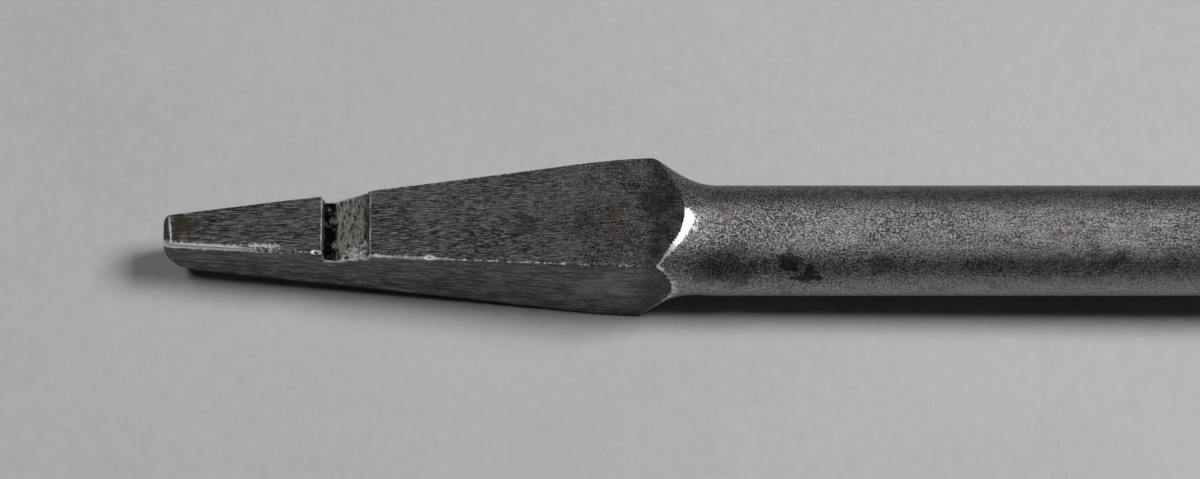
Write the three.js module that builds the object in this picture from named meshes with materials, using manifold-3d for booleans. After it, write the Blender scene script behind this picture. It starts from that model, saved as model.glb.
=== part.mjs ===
// A 19th-century expansive bit for a carpenter's brace.
//
// The body is one bar of steel. Its back end is a tapered square tang with a catch notch on one flat, for the
// brace's spring chuck. Forward of the tang's shoulder the bar is turned down to a heavy round shank, and it
// swells again into a flat-sided head. A cutter slides across the head in an open slot, and a strap clamp with
// one slotted screw holds it at the radius it is set to. A tapered lead screw, pinned into the nose, pulls the
// bit into the wood, and a fixed lip and nicker opposite the cutter clear the middle of the hole.
//
// Units are millimetres. +X runs along the bit's axis, from the tang's small end to the lead screw. +Z is up as
// the bit lies on a bench on the back of its head, and +Y is the way the cutter slides out. The origin is the
// centre of the tang's end face.

import * as THREE from "three";
import { mergeVertices } from "three/addons/utils/BufferGeometryUtils.js";
import Module from "manifold-3d";

const wasm = await Module();
wasm.setup();

// ---- Driving dimensions -----------------------------------------------------------------------------------

// Tang: forged square at the shoulder, and tapered to an end that is a little taller than it is wide.
const TANG_END_WIDTH = 3.5; // across the side flats, before the end chamfer
const TANG_END_HEIGHT = 5.2; // across the notched flat and the one under it
const TANG_END_CHAMFER = 0.7;
const TANG_WIDTH = 12.1; // across the flats of the parallel stretch at the shoulder
const TAPER_LENGTH = 46.5;
const SHOULDER_LAND = 2.1; // the length of that parallel stretch

// Catch notch, on the tang's upper flat: a steep wall, a short floor, a long ramp and a last small step.
const NOTCH_START = 15.9;
const NOTCH_WALL_RUN = 0.3;
const NOTCH_DEPTH = 1.8;
const NOTCH_FLOOR_LENGTH = 1.2;
const NOTCH_RAMP_LENGTH = 2.8;
const NOTCH_STEP = 0.8;
const NOTCH_STEP_RUN = 0.6;

// Shank and its fillet into the shoulder.
const SHANK_DIAMETER = 11.1;
const SHANK_LENGTH = 104.0; // from the shoulder's corners to the start of the head's flare
const SHOULDER_FILLET = 8.9;

// Head: turned to a round outline, with two flats.
const HEAD_DIAMETER = 21.2;
const HEAD_LENGTH = 36.0; // from the end of the flare to the nose
const FLARE_LENGTH = 13.0;

const CUT_DIAMETER = 22.2; // the hole that the bit bores with the cutter right in

// Sliding cutter: a bar across the head, with a lip and nicker at its outer end.
const BAR_WIDTH = 12.0; // along X
const BAR_THICKNESS = 2.8;
const BAR_TAIL = 9.4; // how far the bar reaches past the axis when the cutter is in
const SLIDE_GAP = 0.1; // clearance of the bar in its slot and under the clamp
const SLOT_TOE = 1.0; // the ridge that keeps the bar in the slot at the nose

// Lips and nickers, the same for the sliding cutter and for the fixed side.
const LIP_DROP = 2.6; // from the nose face to the cutting edge
const LIP_RAKE = 40; // degrees from the plane of the cut
const LIP_RELIEF = 12; // degrees
const LIP_INNER = 3.5; // from the axis to the lip's inner end
const CUTTER_LIP_REACH = 2.6; // how far the sliding lip stands forward of its bar
const NICKER_DROP = 1.5; // how far a nicker stands past the cutting edge
const NICKER_WALL = 1.3;
const NICKER_BASE = 3.4; // the nicker's length where it leaves the lip

// Throat: the chip way cut in the head's back, behind the fixed lip.
const THROAT_LENGTH = 13.0;
const WEB_BACK = 2.4; // from the axis to the throat's floor
const THROAT_RADIUS = 6.0;

// Lead screw and the pin that holds it.
const LEAD_LENGTH = 12.0;
const LEAD_ROOT_RADIUS = 2.1; // at the nose
const LEAD_TIP_RADIUS = 0.3;
const THREAD_PITCH = 1.7;
const THREAD_HEIGHT = 0.85;
const THREAD_HALF_WIDTH = 0.32; // of the ridge, as a share of the pitch
const THREAD_FADE = 3; // the thread is whole until a third of the length from the tip
const THREAD_GROWTH = 10; // and from a tenth of the length past the nose
const SPIGOT_RADIUS = 1.5;
const SPIGOT_LENGTH = 9.0;
const SPIGOT_END_GAP = 0.3; // at the bottom of the spigot's hole
const PIN_RADIUS = 0.75;
const PIN_SETBACK = 6.0; // from the nose back to the pin
const PIN_INSET = 0.15; // of the pin's ends, below the head's outline
const PRESS_GAP = 0.05; // what is left round a driven pin or spigot
const COLLAR_GAP = 0.1; // between the lead screw's collar and the nose
const COLLAR_LENGTH = 1.0;
const SPIGOT_WALL = 0.4; // between the spigot's hole and the slot's floor

// Strap clamp and its screw.
const CLAMP_THICKNESS = 3.0;
const CLAMP_HEEL = 12.8; // from the slot's wall back to the clamp's heel
const CLAMP_TOE = 8.0; // from the slot's wall forward over the bar
const CLAMP_SIDE_GAP = 0.2; // how far the clamp's sides lie inside the head's outline
const SCREW_RADIUS = 2.0;
const SCREW_SETBACK = 6.2; // from the slot's wall back to the screw
const SCREW_DEPTH = 8.5; // of shank below the clamp
const SCREW_HEAD_RADIUS = 3.8;
const SCREW_HEAD_HEIGHT = 2.6;
const SCREW_SEAT_DEPTH = 1.2; // of the counterbore in the clamp
const SCREW_SLOT_WIDTH = 1.0;
const SCREW_SLOT_DEPTH = 1.2;
const SCREW_GAP = 0.1;
const SCREW_END_GAP = 0.5; // at the bottom of the screw's hole
const SCREW_HEAD_EDGE = 0.4; // the chamfer round the head
const NOSE_CHAMFER = 1.0;

// ---- Stations along the axis, and heights ------------------------------------------------------------------

const SHANK_RADIUS = SHANK_DIAMETER / 2;
const HEAD_RADIUS = HEAD_DIAMETER / 2;
const HALF_FLAT = TANG_WIDTH / 2; // the head's flats are level with the tang's shoulder
const CORNER_RADIUS = HALF_FLAT * Math.SQRT2;

// The fillet is an arc that is tangent to the shank and runs out at the square's corners.
const FILLET_RISE = CORNER_RADIUS - SHANK_RADIUS;
const FILLET_RUN = Math.sqrt(SHOULDER_FILLET ** 2 - (SHOULDER_FILLET - FILLET_RISE) ** 2);
const SHOULDER_X = TAPER_LENGTH + SHOULDER_LAND;
const SHANK_START = SHOULDER_X + FILLET_RUN;
const FLARE_START = SHOULDER_X + SHANK_LENGTH;
const HEAD_START = FLARE_START + FLARE_LENGTH;
const NOSE_X = HEAD_START + HEAD_LENGTH;

const PIN_X = NOSE_X - PIN_SETBACK;
const SLOT_FLOOR = SPIGOT_RADIUS + PRESS_GAP + SPIGOT_WALL;
const TOE_TOP = SLOT_FLOOR + SLOT_TOE;
const BAR_BOTTOM = SLOT_FLOOR + SLIDE_GAP;
const BAR_TOP = BAR_BOTTOM + BAR_THICKNESS;
const BAR_END = NOSE_X - SLOT_TOE - SLIDE_GAP;
const BAR_START = BAR_END - BAR_WIDTH;
const SLOT_WALL = BAR_START - SLIDE_GAP;
const CLAMP_BOTTOM = BAR_TOP + SLIDE_GAP;
const CLAMP_TOP = CLAMP_BOTTOM + CLAMP_THICKNESS;
const SCREW_X = SLOT_WALL - SCREW_SETBACK;
const SCREW_SEAT = CLAMP_TOP - SCREW_SEAT_DEPTH;
const EDGE_X = NOSE_X + LIP_DROP;
const CUT_RADIUS = CUT_DIAMETER / 2;

const ROUND_SEGMENTS = 48;
const SMALL_SEGMENTS = 24;
const ARC_STEPS = 8;
const ROWS_PER_PITCH = 6;
const OVERSHOOT = 2; // how far a cutting tool runs past what it cuts

// ---- Solids ------------------------------------------------------------------------------------------------

const radians = THREE.MathUtils.degToRad;

function toSolid(geometry) {
  const bare = geometry.clone();
  bare.deleteAttribute("normal");
  bare.deleteAttribute("uv");
  const merged = mergeVertices(bare, 1e-4);
  return new wasm.Manifold(
    new wasm.Mesh({
      numProp: 3,
      vertProperties: new Float32Array(merged.attributes.position.array),
      triVerts: new Uint32Array(merged.index.array),
    }),
  );
}

function toGeometry(solid) {
  const mesh = solid.getMesh();
  const geometry = new THREE.BufferGeometry();
  geometry.setAttribute("position", new THREE.BufferAttribute(mesh.vertProperties, 3));
  geometry.setIndex(new THREE.BufferAttribute(mesh.triVerts, 1));
  geometry.computeVertexNormals();
  return geometry;
}

// A solid of revolution about X. Each profile point is [x, radius].
function turned(profile, segments = ROUND_SEGMENTS) {
  const points = profile.map(([x, radius]) => new THREE.Vector2(radius, x));
  return toSolid(new THREE.LatheGeometry(points, segments).rotateZ(-Math.PI / 2));
}

function extruded(outline, depth) {
  const shape = new THREE.Shape(outline.map(([x, y]) => new THREE.Vector2(x, y)));
  return new THREE.ExtrudeGeometry(shape, { depth, bevelEnabled: false });
}

// An outline of [x, z] points, carried along Y from one side to the other.
function acrossY(outline, fromY, toY) {
  return toSolid(extruded(outline, toY - fromY).rotateX(Math.PI / 2).translate(0, toY, 0));
}

// An outline of [x, y] points, carried up from one height to another.
function acrossZ(outline, fromZ, toZ) {
  return toSolid(extruded(outline, toZ - fromZ).translate(0, 0, fromZ));
}

function box(low, high) {
  const size = high.map((value, axis) => value - low[axis]);
  const geometry = new THREE.BoxGeometry(...size);
  return toSolid(geometry.translate(...low.map((value, axis) => value + size[axis] / 2)));
}

// A round bar standing along Z.
function post(radius, x, lowZ, highZ, segments = SMALL_SEGMENTS) {
  const geometry = new THREE.CylinderGeometry(radius, radius, highZ - lowZ, segments);
  return toSolid(geometry.rotateX(Math.PI / 2).translate(x, 0, (lowZ + highZ) / 2));
}

// A plain round bar along X, about the bit's axis.
const spindle = (radius, fromX, toX, segments = ROUND_SEGMENTS) =>
  turned([[fromX, 0], [fromX, radius], [toX, radius], [toX, 0]], segments);

// ---- Body --------------------------------------------------------------------------------------------------

// The radius of the shoulder's fillet, over its run, falling to the shank.
function filletPoints() {
  const points = [];
  for (let step = 0; step <= ARC_STEPS; step++) {
    const back = FILLET_RUN * (1 - step / ARC_STEPS);
    const radius = SHANK_RADIUS + SHOULDER_FILLET - Math.sqrt(SHOULDER_FILLET ** 2 - back ** 2);
    points.push([SHANK_START - back, radius]);
  }
  return points;
}

// The flare swells from the shank to the head on a smooth S curve.
function flarePoints() {
  const points = [];
  for (let step = 0; step <= ARC_STEPS; step++) {
    const share = step / ARC_STEPS;
    const ease = (1 - Math.cos(Math.PI * share)) / 2;
    points.push([FLARE_START + FLARE_LENGTH * share, SHANK_RADIUS + (HEAD_RADIUS - SHANK_RADIUS) * ease]);
  }
  return points;
}

function bodyBlank() {
  const lathe = turned([
    [-OVERSHOOT, 0],
    [-OVERSHOOT, CORNER_RADIUS + OVERSHOOT],
    [SHOULDER_X, CORNER_RADIUS + OVERSHOOT],
    ...filletPoints(),
    ...flarePoints(),
    [NOSE_X - NOSE_CHAMFER, HEAD_RADIUS],
    [NOSE_X, HEAD_RADIUS - NOSE_CHAMFER],
    [NOSE_X, 0],
  ]);
  const end = SHANK_START + OVERSHOOT;
  const side = acrossY(tangOutline(TANG_END_HEIGHT, end), -TANG_WIDTH, TANG_WIDTH);
  const plan = acrossZ(tangOutline(TANG_END_WIDTH, end), -TANG_WIDTH, TANG_WIDTH);
  const flatBar = box([SHANK_START, -HEAD_RADIUS, -HALF_FLAT], [NOSE_X, HEAD_RADIUS, HALF_FLAT]);
  return lathe.intersect(side.intersect(plan).add(flatBar));
}

// The tang's outline from one side: chamfered end, taper, then parallel as far as `end`.
function tangOutline(endWidth, end) {
  const half = [
    [0, endWidth / 2 - TANG_END_CHAMFER],
    [TANG_END_CHAMFER, endWidth / 2],
    [TAPER_LENGTH, HALF_FLAT],
    [end, HALF_FLAT],
  ];
  const mirrored = half.map(([x, y]) => [x, -y]).reverse();
  return [...half, ...mirrored];
}

// The height of the tang's upper flat at x, on the taper.
function upperFlat(x) {
  const share = (x - TANG_END_CHAMFER) / (TAPER_LENGTH - TANG_END_CHAMFER);
  return THREE.MathUtils.lerp(TANG_END_HEIGHT / 2, HALF_FLAT, share);
}

function catchNotch() {
  const floorStart = NOTCH_START + NOTCH_WALL_RUN;
  const floorEnd = floorStart + NOTCH_FLOOR_LENGTH;
  const rampEnd = floorEnd + NOTCH_RAMP_LENGTH;
  const stepEnd = rampEnd + NOTCH_STEP_RUN;
  const floor = upperFlat(NOTCH_START) - NOTCH_DEPTH;
  const above = HALF_FLAT + OVERSHOOT;
  const outline = [
    [NOTCH_START, above],
    [NOTCH_START, upperFlat(NOTCH_START)],
    [floorStart, floor],
    [floorEnd, floor],
    [rampEnd, upperFlat(rampEnd) - NOTCH_STEP],
    [stepEnd, upperFlat(stepEnd)],
    [stepEnd, above],
  ];
  return acrossY(outline, -TANG_WIDTH, TANG_WIDTH);
}

// The open slot for the bar, and the higher seat for the clamp's heel behind it.
function cutterSlot() {
  const side = HEAD_RADIUS + OVERSHOOT;
  const top = HALF_FLAT + OVERSHOOT;
  const front = NOSE_X + OVERSHOOT;
  const seatStart = SLOT_WALL - CLAMP_HEEL - SLIDE_GAP;
  const slot = box([SLOT_WALL, -side, SLOT_FLOOR], [NOSE_X - SLOT_TOE, side, top]);
  const overToe = box([SLOT_WALL, -side, TOE_TOP], [front, side, top]);
  const lipWay = box([SLOT_WALL, LIP_INNER - SLIDE_GAP, SLOT_FLOOR], [front, side, top]);
  const seat = box([seatStart, -side, CLAMP_BOTTOM - SLIDE_GAP], [NOSE_X, side, top]);
  return slot.add(overToe).add(lipWay).add(seat);
}

// The chip way in the head's back: a flat floor that curves out of the back face.
function throat() {
  const rakeRun = (HALF_FLAT - WEB_BACK) * Math.tan(radians(LIP_RAKE));
  const floorEnd = EDGE_X - rakeRun;
  const floorStart = floorEnd - THROAT_LENGTH + THROAT_RADIUS;
  const outline = [
    [EDGE_X, -HALF_FLAT - OVERSHOOT],
    [EDGE_X, -HALF_FLAT],
    [floorEnd, -WEB_BACK],
  ];
  for (let step = 0; step <= ARC_STEPS; step++) {
    const turn = radians(90 * (step / ARC_STEPS));
    outline.push([
      floorStart - THROAT_RADIUS * Math.sin(turn),
      -WEB_BACK - THROAT_RADIUS * (1 - Math.cos(turn)),
    ]);
  }
  return acrossY(outline, -HEAD_RADIUS - OVERSHOOT, 0);
}

// A lip's outline in X and Z: edge first, then the relief under it, then the rake over it. `front` is +1 for
// the sliding cutter, which faces up, and -1 for the fixed lip, which faces down.
function lipOutline(edgeZ, backZ, rakeTopZ, rootX, front) {
  const relief = (edgeZ - backZ) * Math.tan(radians(LIP_RELIEF));
  const rakeRun = (edgeZ - rakeTopZ) * Math.tan(radians(LIP_RAKE));
  return [
    [EDGE_X, front * edgeZ],
    [EDGE_X - relief, front * backZ],
    [rootX, front * backZ],
    [rootX, front * rakeTopZ],
    [EDGE_X - rakeRun, front * rakeTopZ],
  ];
}

// A nicker: a short knife along the rim of the cut, standing past the lip. Its edge trails back from a point.
function nicker(edgeZ, front) {
  const outline = [
    [EDGE_X - LIP_DROP, front * (edgeZ - NICKER_BASE)],
    [EDGE_X - LIP_DROP, front * edgeZ],
    [EDGE_X, front * edgeZ],
    [EDGE_X + NICKER_DROP, front * (edgeZ - NICKER_BASE / 3)],
    [EDGE_X, front * (edgeZ - NICKER_BASE)],
  ];
  const start = EDGE_X - LIP_DROP - OVERSHOOT;
  const end = EDGE_X + NICKER_DROP + OVERSHOOT;
  const rim = spindle(CUT_RADIUS, start, end).subtract(
    spindle(CUT_RADIUS - NICKER_WALL, start - OVERSHOOT, end + OVERSHOOT),
  );
  const [fromY, toY] = front > 0 ? [0, CUT_RADIUS] : [-CUT_RADIUS, 0];
  return acrossY(outline, fromY, toY).intersect(rim);
}

function fixedLip() {
  const outline = lipOutline(HALF_FLAT, -TOE_TOP, WEB_BACK, NOSE_X - SLOT_TOE, -1);
  const cylinder = spindle(CUT_RADIUS, NOSE_X - OVERSHOOT, EDGE_X + OVERSHOOT);
  const lip = acrossY(outline, -CUT_RADIUS, -LIP_INNER).intersect(cylinder);
  return lip.add(nicker(HALF_FLAT, -1));
}

function makeBody() {
  const spigotEnd = NOSE_X - SPIGOT_LENGTH - SPIGOT_END_GAP;
  const spigotHole = spindle(SPIGOT_RADIUS + PRESS_GAP, spigotEnd, NOSE_X + OVERSHOOT, SMALL_SEGMENTS);
  const pinHole = crossPin(PIN_RADIUS + PRESS_GAP, CUT_RADIUS);
  const screwEnd = CLAMP_BOTTOM - SCREW_DEPTH - SCREW_END_GAP;
  const screwHole = post(SCREW_RADIUS + SCREW_GAP, SCREW_X, screwEnd, HALF_FLAT + OVERSHOOT);
  return bodyBlank()
    .subtract(catchNotch())
    .subtract(cutterSlot())
    .subtract(throat())
    .add(fixedLip())
    .subtract(spigotHole)
    .subtract(pinHole)
    .subtract(screwHole);
}

// ---- Lead screw and pin ------------------------------------------------------------------------------------

// A round bar along Y through the pin's place, as long as twice its reach.
function crossPin(radius, reach) {
  const geometry = new THREE.CylinderGeometry(radius, radius, 2 * reach, SMALL_SEGMENTS);
  return toSolid(geometry.translate(PIN_X, 0, 0));
}

// A tapered wood-screw point: rings about X, whose radius rises along one helical ridge. The thread grows out
// of the collar and fades again towards the tip.
function threadedPoint() {
  const rows = Math.round((LEAD_LENGTH / THREAD_PITCH) * ROWS_PER_PITCH);
  const positions = [NOSE_X, 0, 0];
  for (let row = 0; row <= rows; row++) {
    const share = row / rows;
    const root = THREE.MathUtils.lerp(LEAD_ROOT_RADIUS, LEAD_TIP_RADIUS, share);
    const height = THREAD_HEIGHT * Math.min(1, (1 - share) * THREAD_FADE, share * THREAD_GROWTH);
    for (let column = 0; column < SMALL_SEGMENTS; column++) {
      const phase = (row / ROWS_PER_PITCH - column / SMALL_SEGMENTS + rows) % 1;
      const ridge = Math.max(0, 1 - Math.abs(phase - 0.5) / THREAD_HALF_WIDTH);
      const radius = root + height * ridge;
      const angle = (2 * Math.PI * column) / SMALL_SEGMENTS;
      positions.push(NOSE_X + LEAD_LENGTH * share, radius * Math.cos(angle), radius * Math.sin(angle));
    }
  }
  const tip = positions.length / 3;
  positions.push(NOSE_X + LEAD_LENGTH + LEAD_TIP_RADIUS, 0, 0);
  const index = [];
  const vertex = (row, column) => 1 + row * SMALL_SEGMENTS + (column % SMALL_SEGMENTS);
  for (let column = 0; column < SMALL_SEGMENTS; column++) {
    index.push(0, vertex(0, column + 1), vertex(0, column));
    for (let row = 0; row < rows; row++) {
      const [a, b] = [vertex(row, column), vertex(row, column + 1)];
      const [c, d] = [vertex(row + 1, column), vertex(row + 1, column + 1)];
      index.push(a, b, d, a, d, c);
    }
    index.push(tip, vertex(rows, column), vertex(rows, column + 1));
  }
  const geometry = new THREE.BufferGeometry();
  geometry.setAttribute("position", new THREE.Float32BufferAttribute(positions, 3));
  geometry.setIndex(index);
  return toSolid(geometry);
}

function makeLeadScrew() {
  const collarStart = NOSE_X + COLLAR_GAP;
  const collarEnd = NOSE_X + COLLAR_LENGTH;
  const collar = spindle(LEAD_ROOT_RADIUS, collarStart, collarEnd, SMALL_SEGMENTS);
  const spigot = spindle(SPIGOT_RADIUS, NOSE_X - SPIGOT_LENGTH, collarEnd, SMALL_SEGMENTS);
  const behindCollar = spindle(2 * LEAD_ROOT_RADIUS, NOSE_X - OVERSHOOT, collarStart, SMALL_SEGMENTS);
  const pinWay = crossPin(PIN_RADIUS + PRESS_GAP, 2 * SPIGOT_RADIUS);
  return threadedPoint().subtract(behindCollar).add(collar).add(spigot).subtract(pinWay);
}

const makePin = () => crossPin(PIN_RADIUS, HEAD_RADIUS - PIN_INSET);

// ---- Sliding cutter ----------------------------------------------------------------------------------------

function makeCutter() {
  const edgeZ = BAR_TOP + CUTTER_LIP_REACH;
  const bar = box([BAR_START, -BAR_TAIL, BAR_BOTTOM], [BAR_END, CUT_RADIUS, BAR_TOP]);
  const outline = lipOutline(edgeZ, BAR_BOTTOM, BAR_TOP, BAR_END - OVERSHOOT, 1);
  const lip = acrossY(outline, LIP_INNER, CUT_RADIUS);
  const cylinder = spindle(CUT_RADIUS, BAR_START - OVERSHOOT, EDGE_X + OVERSHOOT);
  return bar.add(lip).intersect(cylinder).add(nicker(edgeZ, 1));
}

// ---- Clamp and screw ---------------------------------------------------------------------------------------

function makeClamp() {
  const heelX = SLOT_WALL - CLAMP_HEEL;
  const toeX = SLOT_WALL + CLAMP_TOE;
  const outline = [
    [heelX, CLAMP_BOTTOM],
    [toeX, CLAMP_BOTTOM],
    [toeX, CLAMP_BOTTOM + CLAMP_THICKNESS / 4],
    [toeX - CLAMP_THICKNESS, CLAMP_TOP],
    [heelX + CLAMP_THICKNESS / 3, CLAMP_TOP],
    [heelX, CLAMP_TOP - CLAMP_THICKNESS / 3],
  ];
  const sides = spindle(HEAD_RADIUS - CLAMP_SIDE_GAP, heelX - OVERSHOOT, toeX + OVERSHOOT);
  const hole = post(SCREW_RADIUS + SCREW_GAP, SCREW_X, CLAMP_BOTTOM - OVERSHOOT, CLAMP_TOP + OVERSHOOT);
  const seat = post(SCREW_HEAD_RADIUS + 2 * SCREW_GAP, SCREW_X, SCREW_SEAT, CLAMP_TOP + OVERSHOOT);
  return acrossY(outline, -HEAD_RADIUS, HEAD_RADIUS).intersect(sides).subtract(hole).subtract(seat);
}

function makeScrew() {
  const headBottom = SCREW_SEAT + SCREW_GAP;
  const headTop = headBottom + SCREW_HEAD_HEIGHT;
  const shank = post(SCREW_RADIUS, SCREW_X, CLAMP_BOTTOM - SCREW_DEPTH, headBottom + SCREW_GAP);
  const outline = [
    [headBottom, 0],
    [headBottom, SCREW_HEAD_RADIUS],
    [headTop - SCREW_HEAD_EDGE, SCREW_HEAD_RADIUS],
    [headTop, SCREW_HEAD_RADIUS - SCREW_HEAD_EDGE],
    [headTop, 0],
  ].map(([z, radius]) => new THREE.Vector2(radius, z));
  const lathe = new THREE.LatheGeometry(outline, ROUND_SEGMENTS);
  const head = toSolid(lathe.rotateX(Math.PI / 2).translate(SCREW_X, 0, 0));
  const slot = box(
    [SCREW_X - 2 * SCREW_HEAD_RADIUS, -SCREW_SLOT_WIDTH / 2, headTop - SCREW_SLOT_DEPTH],
    [SCREW_X + 2 * SCREW_HEAD_RADIUS, SCREW_SLOT_WIDTH / 2, headTop + OVERSHOOT],
  );
  return head.add(shank).subtract(slot);
}

// ---- Scene graph -------------------------------------------------------------------------------------------

const steel = (color, roughness) => new THREE.MeshStandardMaterial({ color, roughness, metalness: 1 });

const PIECES = [
  ["bit_body", makeBody, steel(0x55524f, 0.5)],
  ["lead_screw", makeLeadScrew, steel(0x6a6764, 0.45)],
  ["lead_screw_pin", makePin, steel(0x6f6c68, 0.4)],
  ["sliding_cutter", makeCutter, steel(0x74726f, 0.4)],
  ["clamp_plate", makeClamp, steel(0x5b5855, 0.5)],
  ["clamp_screw", makeScrew, steel(0x4c4a48, 0.45)],
];

const bit = new THREE.Group();
for (const [name, make, material] of PIECES) {
  const mesh = new THREE.Mesh(toGeometry(make()), material);
  mesh.name = name;
  bit.add(mesh);
}

export default bit;
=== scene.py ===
"""The looks of an old expansive brace bit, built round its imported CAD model.

Lengths are in millimetres in the shape code and are turned into metres when a mesh is made. +X runs from the
tang's end to the lead screw, and +Z is up, as in the CAD model.
"""

import math

import bmesh
import bpy
import numpy as np
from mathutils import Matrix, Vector, noise


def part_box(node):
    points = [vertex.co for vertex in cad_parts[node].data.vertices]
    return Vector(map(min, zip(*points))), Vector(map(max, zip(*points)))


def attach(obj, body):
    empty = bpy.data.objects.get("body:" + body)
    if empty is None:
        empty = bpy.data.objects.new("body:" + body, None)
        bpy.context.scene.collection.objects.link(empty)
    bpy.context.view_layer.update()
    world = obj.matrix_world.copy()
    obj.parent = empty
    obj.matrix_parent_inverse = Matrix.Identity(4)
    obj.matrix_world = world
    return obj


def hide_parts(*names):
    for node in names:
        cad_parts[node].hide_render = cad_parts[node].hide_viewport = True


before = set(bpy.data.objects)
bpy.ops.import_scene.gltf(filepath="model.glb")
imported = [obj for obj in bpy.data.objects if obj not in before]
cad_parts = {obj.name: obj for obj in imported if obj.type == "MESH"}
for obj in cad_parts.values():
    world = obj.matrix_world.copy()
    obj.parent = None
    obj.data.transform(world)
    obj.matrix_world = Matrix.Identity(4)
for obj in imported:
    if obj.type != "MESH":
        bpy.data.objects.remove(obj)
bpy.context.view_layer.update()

MM = 0.001

# ---- Driving dimensions, in millimetres --------------------------------------------------------------------

body_low, body_high = (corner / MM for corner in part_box("bit_body"))
HALF_FLAT = -body_low.z
SHANK_RADIUS = 5.55
SHOULDER_FILLET = 8.9
SHOULDER_X = 48.6
TAPER_LENGTH = 46.5
TANG_END = Vector((1.75, 2.6))  # half the width and half the height of the tang's small end
CORNER_RADIUS = HALF_FLAT * math.sqrt(2)
FILLET_RISE = CORNER_RADIUS - SHANK_RADIUS
FILLET_RUN = math.sqrt(SHOULDER_FILLET**2 - (SHOULDER_FILLET - FILLET_RISE) ** 2)
SHANK_START = SHOULDER_X + FILLET_RUN
SHANK_LENGTH = 104.0  # from the shoulder to the head's flare
FLARE_START = SHOULDER_X + SHANK_LENGTH
FLARE_LENGTH = 13.0
HEAD_RADIUS = body_high.y
JOIN_X = FLARE_START + FLARE_LENGTH + 4.0  # where the fine mesh of the shank meets the head's

NOTCH_START = 15.9
NOTCH_DEPTH = 1.8
NOTCH_FLOOR_END = 17.4
NOTCH_RAMP_END = 20.15
NOTCH_END = 20.8
NOTCH_STEP = 0.8

TANG_LEAN = 0.34  # how far the forged tang stands off the shank's axis at the shoulder, towards +Y
FLAT_HOLLOW = 0.26  # how far the upper and lower flats dip halfway along
END_ROUND = 0.75  # radius of the rounding at the tang's end
BODY_SMOOTH_ANGLE = 25  # degrees

# ---- Camera and view ---------------------------------------------------------------------------------------

VIEW_ELEVATION = math.radians(65)
VIEW_UP = (0, math.sin(VIEW_ELEVATION), math.cos(VIEW_ELEVATION))
CAMERA_DISTANCE = 1.1  # in metres, like the lights' places
VIEW_WIDTH = 120.6
AIM_X = 43.8
AIM_UP = 0.11


# ---- Small helpers -----------------------------------------------------------------------------------------


def smoothstep(low, high, value):
    share = np.clip((value - low) / (high - low), 0, 1)
    return share * share * (3 - 2 * share)


def smooth_min(a, b, width):
    """The smaller of two values, with the crease between them rounded over that width."""
    blend = np.clip(0.5 + 0.5 * (b - a) / width, 0, 1)
    return b + (a - b) * blend - width * blend * (1 - blend)


def new_object(name, verts_mm, faces, smooth_angle=30):
    mesh = bpy.data.meshes.new(name)
    mesh.from_pydata([tuple(v) for v in np.asarray(verts_mm) * MM], [], faces)
    mesh.validate()
    piece = bpy.data.objects.new(name, mesh)
    bpy.context.scene.collection.objects.link(piece)
    shade(piece, smooth_angle)
    return piece


def shade(piece, smooth_angle):
    """Smooth shading, with the edges sharper than the angle left sharp."""
    mesh = piece.data
    mesh.shade_smooth()
    mesh.set_sharp_from_angle(angle=math.radians(smooth_angle))


def fractal(points, scale, octaves=3, seed=0.0):
    """Fractal noise at each point, about -1 to 1. Scale is the size of its largest features."""
    shift = Vector((seed * 17.3, seed * 5.1, seed * 9.7))
    return np.array([noise.fractal(Vector(p) / scale + shift, 1.0, 2.0, octaves) for p in points])


# ---- Body: tang, shoulder and shank ------------------------------------------------------------------------

RING_POINTS = 176
CORNER_CROWDING = 0.82  # how strongly a ring's points gather at the section's corners


def ring_angles():
    """Angles round the section, crowded at its four corners."""
    even = np.arange(RING_POINTS) / RING_POINTS * 2 * math.pi
    return even + CORNER_CROWDING * np.sin(4 * even) / 4


def stations():
    """Places along X where the body has a ring: close together where the shape changes fast."""
    stretches = [
        (0.0, 1.6, 0.09),
        (1.6, 15.0, 0.24),
        (15.0, NOTCH_START - 0.2, 0.12),
        (NOTCH_START - 0.2, 17.6, 0.05),
        (17.6, NOTCH_END + 0.3, 0.06),
        (NOTCH_END + 0.3, NOTCH_END + 0.5, 0.1),
        (NOTCH_END + 0.5, 30.0, 0.2),
        (30.0, 46.0, 0.3),
        (46.0, SHANK_START, 0.1),
        (SHANK_START, 62.0, 0.35),
        (62.0, FLARE_START, 1.5),
        (FLARE_START, JOIN_X, 0.5),
    ]
    places = []
    for start, end, step in stretches:
        places += list(np.arange(start, end - step / 3, step))
    return np.array(places + [JOIN_X])


def shoulder_shift(direction):
    """How far along X the fillet was turned past its mean place. It runs out unevenly at the four corners."""
    y, z = direction[..., 0], direction[..., 1]
    fourfold = 1 - 8 * (y * z) ** 2
    return -0.70 + 0.07 * y + 1.34 * z - 0.60 * fourfold


def turned_radius(x):
    """The radius that the shoulder's fillet and the shank were turned to."""
    back = np.clip(SHANK_START - x, 0, SHOULDER_FILLET * 0.995)
    fillet = SHOULDER_FILLET - np.sqrt(SHOULDER_FILLET**2 - back**2)
    flare = (1 - np.cos(math.pi * np.clip((x - FLARE_START) / FLARE_LENGTH, 0, 1))) / 2
    return SHANK_RADIUS + fillet + (HEAD_RADIUS - SHANK_RADIUS) * flare


def flat_half(x, end_half):
    """Half the distance across two flats of the tang: a taper that bends gently into the parallel stretch."""
    share = smooth_min(x / TAPER_LENGTH, 1 + 0 * x, 0.08)
    return end_half + (HALF_FLAT - end_half) * share


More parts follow.
